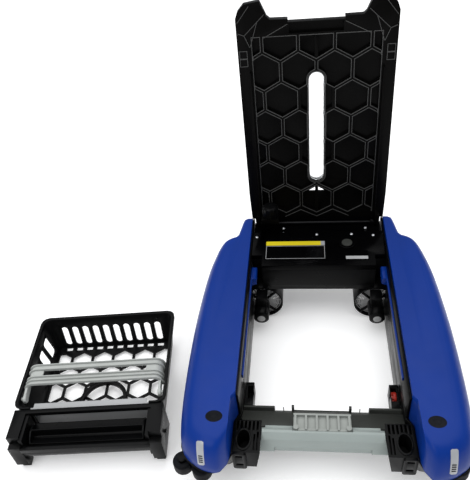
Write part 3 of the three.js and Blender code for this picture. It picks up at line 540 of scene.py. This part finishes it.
def draped(tree, x0, x1, p0, p1, top, bottom, columns=5, rows=22, round_off=2.2):
    """A thin closed strip laid on the nose between two distances square to LAMP_RAY."""
    across = Vector((0, -LAMP_RAY.z, LAMP_RAY.y))
    rings = []
    for row in range(rows + 1):
        p = p0 + (p1 - p0) * row / rows
        end = min(row, rows - row) / rows * abs(p1 - p0)
        short = round_off - min(end, round_off)
        pinch = round_off - math.sqrt(max(0, round_off ** 2 - short ** 2))
        line = [x0 + pinch + (x1 - x0 - 2 * pinch) * c / columns for c in range(columns + 1)]
        starts = [Vector((x, 0, 0)) + across * p - LAMP_RAY * RAY_START for x in line]
        upper = [surface_point(tree, s, LAMP_RAY, top) for s in starts]
        lower = [surface_point(tree, s, LAMP_RAY, bottom) for s in reversed(starts)]
        rings.append(upper + lower)
    return loft(rings)


def oval_cap(tree, hand, grow, rise, depth, rings=8, count=40):
    """A domed oval laid on the float top, closed below."""
    cx, cy = PLUG_PLACE[0] * hand, PLUG_PLACE[1]
    rx, ry = PLUG_SIZE[0] * grow, PLUG_SIZE[1] * grow
    down = Vector((0, 0, -1))
    rows = []
    for k in range(rings + 1):
        share = 1 - 0.96 * k / rings
        row = []
        for i in range(count):
            turn = 2 * math.pi * i / count
            start = Vector((cx + rx * share * math.cos(turn), cy + ry * share * math.sin(turn),
                            RAY_START))
            hit = surface_point(tree, start, down, 0)
            row.append(hit + Vector((0, 0, rise * (1 - share ** 3))))
        rows.append(row)
    base = [p + Vector((0, 0, -depth)) for p in rows[0]]
    return loft([base] + rows)


def make_float_top(side):
    """The blue shell's top, its nose plug, and the lamp strip with its dark marks."""
    hand = SIDES[side]
    levels = [tuple(level) for level in catmull(CROWN, SMOOTH_STEPS)]
    shell = loft([mirror(float_ring(*level), hand) for level in levels])
    tree = BVHTree.FromBMesh(shell)
    plug_parts = [oval_cap(tree, hand, grow=1.0, rise=0.9, depth=3),
                  oval_cap(tree, hand, grow=0.62, rise=1.7, depth=2)]
    lens_x = sorted(x * hand for x in LAMP_X)
    lens = draped(tree, *lens_x, *LAMP_SPAN, LAMP_RISE, LAMP_DEPTH)
    marks_x = [lens_x[0] + LED_INSET, lens_x[1] - LED_INSET]
    marks = []
    for k in range(LED_COUNT):
        start = LAMP_SPAN[1] + LED_START + LED_PITCH * k
        marks.append(draped(tree, *marks_x, start, start + LED_WIDTH, LED_RISE, LED_DEPTH, rows=4,
                            round_off=0.3))
    piece(f"float_top_{side}", shell, ROBOT, "robot", BLUE,
          [f"shell_{side}"], 1.2, 3)
    piece(f"nose_plug_cover_{side}", merged(plug_parts), ROBOT, "robot", RUBBER,
          [f"nose_plug_{side}"])
    piece(f"lamp_strip_{side}", lens, ROBOT, "robot", PALE, [f"lamp_lens_{side}"])
    piece(f"lamp_leds_{side}", merged(marks), ROBOT, "robot", BLACK)


for side_name in SIDES:
    make_float_top(side_name)


# ---------------------------------------------------------------- guide rollers
TREAD_CORNER = 4.5
HUB_BORE, HUB_RADIUS = 2.8, 6.8
HUB_PLAY = 0.2                      # between the hub and the tread
HUB_SINK = 1                        # how far the hub's ends lie inside the tread's


def rounded_roller(radius, low, high, corner, bore):
    """A roller with a bore and rounded shoulders."""
    flat = radius - corner
    profile = [(bore, low), (flat, low)]
    for centre, start in ((low + corner, -75), (high - corner, 0)):
        for i in range(6):
            turn = math.radians(start + 15 * i)
            profile.append((flat + corner * math.cos(turn), centre + corner * math.sin(turn)))
    profile += [(flat, high), (bore, high)]
    return turned(profile)


def make_guide_roller(side, place):
    node = f"guide_roller_{side}_{place}"
    low, high = (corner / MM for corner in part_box(node))
    centre = Vector(joint[f"{node}_spin"]["pos_m"]) / MM
    radius = (high.x - low.x) / 2
    tread = rounded_roller(radius, low.z, high.z, TREAD_CORNER, HUB_RADIUS + HUB_PLAY)
    foot, head = low.z + HUB_SINK, high.z - HUB_SINK
    hub = turned([(HUB_BORE, foot), (HUB_RADIUS, foot), (HUB_RADIUS, head), (HUB_BORE, head)])
    place_at = Matrix.Scale(MM, 4) @ shift(centre.x, centre.y, 0)
    piece(f"roller_tread_{side}_{place}", tread, place_at, f"{node}_body", RUBBER, [node])
    piece(f"roller_hub_{side}_{place}", hub, place_at, f"{node}_body", BLACK,
          bevel=0.3)


for side_name in SIDES:
    for place_name in ROLLER_PLACES:
        make_guide_roller(side_name, place_name)


# ---------------------------------------------------------------- underside of the lid
# Places on the lid are x across and s, the distance from the hinge.
HEX_PITCH = 60                      # between cells in a row
HEX_ROW = 51.5                      # between rows
HEX_START = 50                      # s of the first row
HEX_GAP = 6                         # between two cells
HEX_ROWS = 7
WINDOW_ROWS = (2, 4)                # rows whose middle cell would lie across the window slot
THINNEST_CELL = 8
POCKET_HALF = 106                   # the ribbed field
POCKET_ENDS = (16, 367)
SLOT_HALF = 13                      # the window slot
SLOT_ENDS = (91, 304)
SLOT_BORDER = 4
RIB_HEIGHT = 1.6
RIB_ROOT = 0.4                      # how far a rib runs into the lid
RIB_WALL = 1.1
THIN_WALL = 1.0
RIM_WALL = 1.2
SIDE_FRAME_X = (114.5, 128)
SIDE_FRAME_S = (319, 332.5, 346)
CORNER_STRUTS = (((84, 403), (118, 371)), ((108, 417), (128, 392)), ((96, 391), (109, 352)),
                 ((118, 371), (110, 352)), ((118, 371), (128, 375)), ((47, 386), (86, 366)))
HINGE_ZIGZAG = [(-62, 9), (-31, 25), (0, 9), (31, 25), (62, 9)]


def slot_half_width(s):
    """Half width, at distance s from the hinge, of the border round the lid's window slot."""
    r = SLOT_HALF + SLOT_BORDER
    low, high = SLOT_ENDS[0] - SLOT_BORDER - 1 + r, SLOT_ENDS[1] + SLOT_BORDER + 1 - r
    beyond = max(low - s, s - high, 0)
    return math.sqrt(r * r - beyond * beyond) if beyond < r else 0


def cell_outline(cx, cs):
    """One honeycomb cell, kept inside the ribbed field and clear of the slot's border."""
    r = (HEX_PITCH - HEX_GAP) / math.sqrt(3)
    corners = [Vector((cx + r * math.cos(math.radians(60 * i + 30)),
                       cs + r * math.sin(math.radians(60 * i + 30)))) for i in range(6)]
    points = []
    for i in range(6):
        a, b = corners[i], corners[(i + 1) % 6]
        points += [a.lerp(b, k / 14) for k in range(14)]
    kept = []
    for p in points:
        x = max(-POCKET_HALF, min(POCKET_HALF, p.x))
        s = max(POCKET_ENDS[0], min(POCKET_ENDS[1], p.y))
        half = slot_half_width(s)
        if abs(cx) > 1 and abs(x) < half:
            x = math.copysign(half, cx)
        kept.append((x, s))
    return kept


def too_thin(points):
    xs = [p[0] for p in points]
    ys = [p[1] for p in points]
    return min(max(xs) - min(xs), max(ys) - min(ys)) < THINNEST_CELL


def strut(a, b, thickness, low, high):
    """A straight thin wall between two points."""
    a, b = Vector(a), Vector(b)
    along = (b - a).normalized() * thickness / 2
    side = Vector((-along.y, along.x))
    return prism([tuple(a - along - side), tuple(b + along - side), tuple(b + along + side),
                  tuple(a - along + side)], low, high)


def honeycomb(low, high):
    """Walls round the cells: rows of five and of four by turns."""
    parts = []
    for row in range(HEX_ROWS):
        count = 4 if row % 2 else 5
        for k in range(count):
            cx = HEX_PITCH * (k - (count - 1) / 2)
            if cx == 0 and row in WINDOW_ROWS:
                continue
            outline = cell_outline(cx, HEX_START + HEX_ROW * row)
            if not too_thin(outline):
                parts.append(wall([(x, -s) for x, s in outline], -RIB_WALL, low, high))
    return parts


def make_lid_ribs():
    """The honeycomb, the window's border, and the small frames and struts round them."""
    under = LID_LIFT - RIB_HEIGHT
    top = LID_LIFT + RIB_ROOT
    parts = honeycomb(under, top)
    border = capsule(SLOT_HALF + RIM_WALL, -SLOT_ENDS[1] - RIM_WALL, -SLOT_ENDS[0] + RIM_WALL)
    parts.append(wall(border, -RIM_WALL, under, top))
    for hand in (1, -1):
        x0, x1 = (x * hand for x in SIDE_FRAME_X)
        for s0, s1 in zip(SIDE_FRAME_S, SIDE_FRAME_S[1:]):
            side_frame = [(x0, -s0), (x1, -s0), (x1, -s1), (x0, -s1)]
            parts.append(wall(side_frame, THIN_WALL, under, top))
        for (xa, sa), (xb, sb) in CORNER_STRUTS:
            parts.append(strut((xa * hand, -sa), (xb * hand, -sb), THIN_WALL, under, top))
    for (x0, s0), (x1, s1) in zip(HINGE_ZIGZAG, HINGE_ZIGZAG[1:]):
        parts.append(strut((x0, -s0), (x1, -s1), THIN_WALL, under, top))
    # The ribs and frames wear a lighter grey, a painted highlight on the lid's black plastic.
    piece("lid_ribs", merged(parts), LID, "lid", RIB_PAINTED_HIGHLIGHT, bevel=0.3)


LIP_HALF = 103.5
LIP_Y = (-4.5, 2)
LIP_EAR_X = (103, 123)
LIP_EAR_BACK = 7
LIP_RISE = (2, 4.5)                 # heights of its two faces above the lid's underside
LIP_RIB_X = range(-96, 97, 24)
LIP_RIB_HALF = 0.8


def make_rear_lip():
    """A ribbed lip that closes the gap between the open lid and the deck's back wall."""
    low, high = (LID_LIFT + rise for rise in LIP_RISE)
    front, back = LIP_Y
    parts = [block(-LIP_HALF, LIP_HALF, front, back, low, high)]
    for hand in (1, -1):
        x0, x1 = sorted(x * hand for x in LIP_EAR_X)
        parts.append(block(x0, x1, front, LIP_EAR_BACK, low, high))
    for x in LIP_RIB_X:
        parts.append(block(x - LIP_RIB_HALF, x + LIP_RIB_HALF, front - 0.5, back - 0.5,
                           low + 1, high + 1.5))
    piece("lid_rear_lip", merged(parts), LID, "lid", LID_BLACK, bevel=0.3)


make_lid_ribs()
make_rear_lip()


# ---------------------------------------------------------------- thrusters
SCREEN_DEPTH = 7.2                  # behind the guard's front face
SCREEN_THICK = 1
SCREEN_RING_WIDTH = 1.7
SCREEN_RINGS = range(10, 32, 3)     # inner radii, with one more ring near the edge
SCREEN_SLATS = 18
SCREEN_MARGIN = 3                   # taken off the guard's outside radius
SLAT_HALF = 0.8


def make_thruster_trim(side):
    """A pale slatted screen behind the guard's spokes, and the pod's pale nose badge."""
    centre = Vector(joint[f"propeller_{side}_spin"]["pos_m"]) / MM
    guard_low, guard_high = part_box(f"propeller_guard_{side}")
    cap_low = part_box(f"pod_cap_{side}")[0]
    backward = Matrix.Rotation(math.radians(-90), 4, "X")
    facing = Matrix.Scale(MM, 4) @ shift(centre.x, 0, centre.z) @ backward
    front = guard_low.y / MM + SCREEN_DEPTH
    back = front + SCREEN_THICK
    outer = (guard_high.x - guard_low.x) / 2 / MM - SCREEN_MARGIN
    parts = []
    for inner in (*SCREEN_RINGS, outer - 2):
        edge = inner + SCREEN_RING_WIDTH
        parts.append(turned([(inner, front), (edge, front), (edge, back), (inner, back)], 40))
    for i in range(SCREEN_SLATS):
        turn = Matrix.Rotation(2 * math.pi * i / SCREEN_SLATS, 4, "Z")
        slat = block(SCREEN_RINGS[0] + 0.5, outer - 0.5, -SLAT_HALF, SLAT_HALF, front + 0.2, back + 0.2)
        parts.append(moved(slat, turn))
    piece(f"guard_screen_{side}", merged(parts), facing, "robot", SCREEN)
    nose = cap_low.y / MM
    badge = turned([(0.01, nose - 1.4), (5, nose - 1.2), (7.4, nose - 0.2), (7.4, nose + 1),
                    (0.01, nose + 1)], 32)
    piece(f"pod_badge_{side}", badge, facing, "robot", SCREEN)


for side_name in SIDES:
    make_thruster_trim(side_name)


# ---------------------------------------------------------------- basket handle
GRIP_HALF = 115.5                   # half the handle's width
GRIP_Z = 85.5                       # height of the strap along the top
GRIP_BEND = 12                      # radius of its two bent ends
GRIP_FOOT = 68
GRIP_Y = (-25, 16)
GRIP_SLOT = (86, -8, 4)             # half length and the two edges in y
GRIP_THICK = 3
BEAD_RISE, BEAD_WIDTH, BEAD_THICK = 2.6, 2.4, 4.4
CHEEK_X = (112.6, 116.6)


def grip_path(raised=0):
    """Points (x, z) across the basket: up one bent end, along the top, down the other."""
    bend = GRIP_BEND + raised
    centre = GRIP_HALF - GRIP_BEND
    side = -GRIP_HALF - raised
    points = [(side, GRIP_FOOT), (side, GRIP_Z - GRIP_BEND)]
    for i in range(1, 9):
        turn = math.radians(180 - 90 * i / 8)
        points.append((-centre + bend * math.cos(turn), GRIP_Z - GRIP_BEND + bend * math.sin(turn)))
    points += [(x, GRIP_Z + raised) for x in range(-90, 91, 15)]
    points += [(-x, z) for x, z in reversed(points[:10])]
    return points


def strip(points, y0, y1, thickness):
    """A flat band with rounded edges that follows a path in x and z."""
    rings = []
    count = len(points)
    for i, (x, z) in enumerate(points):
        before, after = Vector(points[max(i - 1, 0)]), Vector(points[min(i + 1, count - 1)])
        along = (after - before).normalized()
        out = Vector((-along.y, along.x)) * thickness / 2
        ring = []
        for y, k in ((y0, -0.5), (y0, 0.5), (y0 + 0.6, 1), (y1 - 0.6, 1), (y1, 0.5), (y1, -0.5),
                     (y1 - 0.6, -1), (y0 + 0.6, -1)):
            ring.append((x + out.x * k, y, z + out.y * k))
        rings.append(ring)
    return loft(rings)


def make_basket_handle():
    """A slotted strap with raised beads, a cheek at each end, and the pivot studs and pins."""
    path = grip_path()
    slot_half, slot_y0, slot_y1 = GRIP_SLOT
    ends = [p for p in path if p[0] < -slot_half + 6], [p for p in path if p[0] > slot_half - 6]
    parts = [strip(path, GRIP_Y[0], slot_y0, GRIP_THICK), strip(path, slot_y1, GRIP_Y[1], GRIP_THICK)]
    parts += [strip(end, slot_y0 - 0.5, slot_y1 + 0.5, GRIP_THICK) for end in ends]
    high = grip_path(raised=BEAD_RISE)
    for y in (GRIP_Y[0], -17.5, slot_y0 - BEAD_WIDTH, slot_y1, GRIP_Y[1] - BEAD_WIDTH):
        parts.append(strip(high, y, y + BEAD_WIDTH, BEAD_THICK))
    py, pz = HANDLE_PIVOT
    cheek = [(py - 6, pz - 4), (py - 6, pz + 3), (py, pz + 7), (GRIP_Y[0] + 4, GRIP_Z - 4),
             (GRIP_Y[0] + 14, GRIP_Z - 10), (GRIP_Y[0] + 4, GRIP_FOOT + 1), (py, pz - 6)]
    for hand in (1, -1):
        sides = sorted(x * hand for x in CHEEK_X)
        parts.append(loft([[(x, y, z) for y, z in cheek] for x in sides]))
        stud = turned([(0.01, 112), (6, 112), (6.4, 113), (6.4, 117.4), (0.01, 117.4)], 28)
        turn = Matrix.Rotation(math.radians(90 * hand), 4, "Y")
        parts.append(moved(stud, shift(0, py, pz) @ turn))
        pin = turned([(0.01, 117), (2.9, 117), (2.9, 125), (0.01, 125)], 20)
        parts.append(moved(pin, shift(0, py, pz) @ turn))
    piece("basket_grip", merged(parts), BASKET, "basket_handle_body", GRIP_GREY,
          ["basket_handle"], 0.3)


make_basket_handle()


# ---------------------------------------------------------------- rear deck details
# The foot of each screw as x, y and z.
SCREWS = [(-66, 239, 133), (-66, 224, 133), (94, 237, 133), (-117, 202, 142), (105.5, 204, 142),
          (-1, 208, 142), (65, 208, 142)]


def screw(radius=3.1, height=1.9):
    """A pan-head screw with a round driving recess."""
    shares = [(1, 0), (1, 0.35), (0.93, 0.62), (0.72, 0.88), (0.45, 1), (0.4, 0.55)]
    profile = [(radius * r, height * z) for r, z in shares]
    return turned([(0.01, 0), *profile, (0.01, height * 0.5)], 24)


def make_screws():
    parts = [moved(screw(), shift(x, y, z)) for x, y, z in SCREWS]
    piece("deck_screws", merged(parts), ROBOT, "robot", STEEL)


def robot_box(node):
    """A node's rest corners as x0, x1, y0, y1, z0, z1 in robot millimetres."""
    low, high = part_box(node)
    return [(v[k] - ORIGIN[k]) / MM for k in range(3) for v in (low, high)]


def make_notices():
    x0, x1, y0, y1, z0, z1 = robot_box("notice_plate")
    band = y1 - 13
    piece("notice_film", block(x0, x1, y0, y1, z0, z1), ROBOT, "robot", GLOSS,
          ["notice_plate"], 0.15)
    piece("notice_band", block(x0 + 1.5, x1 - 9, band, y1 - 1.5, z1, z1 + 0.25), ROBOT, "robot",
          YELLOW, bevel=0.08)
    piece("notice_corner", block(x1 - 9, x1 - 1.5, band, y1 - 1.5, z1, z1 + 0.25), ROBOT, "robot",
          PALE, bevel=0.08)
    border = wall([(x0 + 2, y0 + 2), (x1 - 2, y0 + 2), (x1 - 2, band - 1.5), (x0 + 2, band - 1.5)],
                  0.7, z1, z1 + 0.2)
    piece("notice_border", border, ROBOT, "robot", SILVER)
    x0, x1, y0, y1, z0, z1 = robot_box("rating_plate")
    piece("rating_film", block(x0, x1, y0, y1, z0, z1), ROBOT, "robot", GLOSS,
          ["rating_plate"], 0.15)
    piece("rating_strip", block(x0 + 17, x1 - 1, y0 + 1, y0 + 9, z1, z1 + 0.25), ROBOT, "robot",
          SILVER, bevel=0.08)


make_screws()
make_notices()


# ---------------------------------------------------------------- floor, lights and camera
def area_light(name, place, target, size, power):
    data = bpy.data.lights.new(name, "AREA")
    data.shape = "RECTANGLE"
    data.size, data.size_y = size
    data.energy = power
    light = bpy.data.objects.new(name, data)
    light.location = place
    light.rotation_mode = "QUATERNION"
    light.rotation_quaternion = (Vector(target) - Vector(place)).to_track_quat("-Z", "Y")
    bpy.context.scene.collection.objects.link(light)


FLOOR_SIZE = 14
FLOOR_PLACE = (0, 1.5, -0.0004)     # just under the object, so that no two faces share a place


def make_studio():
    """A pale floor, a soft bright sky, a wide overhead panel and a small fill from the front."""
    bpy.ops.mesh.primitive_plane_add(size=FLOOR_SIZE, location=FLOOR_PLACE)
    floor = bpy.context.object
    floor.name = "studio_floor"
    floor.data.materials.append(studio_floor("floor"))
    world = bpy.data.worlds.new("studio")
    bpy.context.scene.world = world
    world.use_nodes = True
    background = world.node_tree.nodes["Background"]
    background.inputs["Color"].default_value = (0.95, 0.97, 1.0, 1)
    background.inputs["Strength"].default_value = 0.45
    area_light("overhead", (0.1, 0.6, 3.0), target=(0.1, 0.6, 0), size=(5, 4.4), power=150)
    area_light("front_fill", (-1.2, -1.9, 1.7), target=(0.1, 0, 0.2), size=(1.4, 1.4), power=16)


CAMERA_PLACE = ROBOT @ Vector((-17, -650, 875))
CAMERA_AIM = ROBOT @ Vector((-187.3, 358.8, 0))
CAMERA_ROLL = math.radians(-7)      # the photo is tilted by this much
LENS = 43.2
SENSOR = 36


def make_camera():
    """Looks from the photo's viewpoint: in front and above, aimed back and to the robot's left."""
    data = bpy.data.cameras.new("camera")
    data.sensor_width = SENSOR
    data.lens = LENS
    data.clip_start = 0.01
    camera = bpy.data.objects.new("camera", data)
    camera.location = CAMERA_PLACE
    level = (CAMERA_AIM - CAMERA_PLACE).to_track_quat("-Z", "Y")
    camera.rotation_mode = "QUATERNION"
    camera.rotation_quaternion = level @ Quaternion((0, 0, 1), CAMERA_ROLL)
    bpy.context.scene.collection.objects.link(camera)
    bpy.context.scene.camera = camera


make_studio()
make_camera()
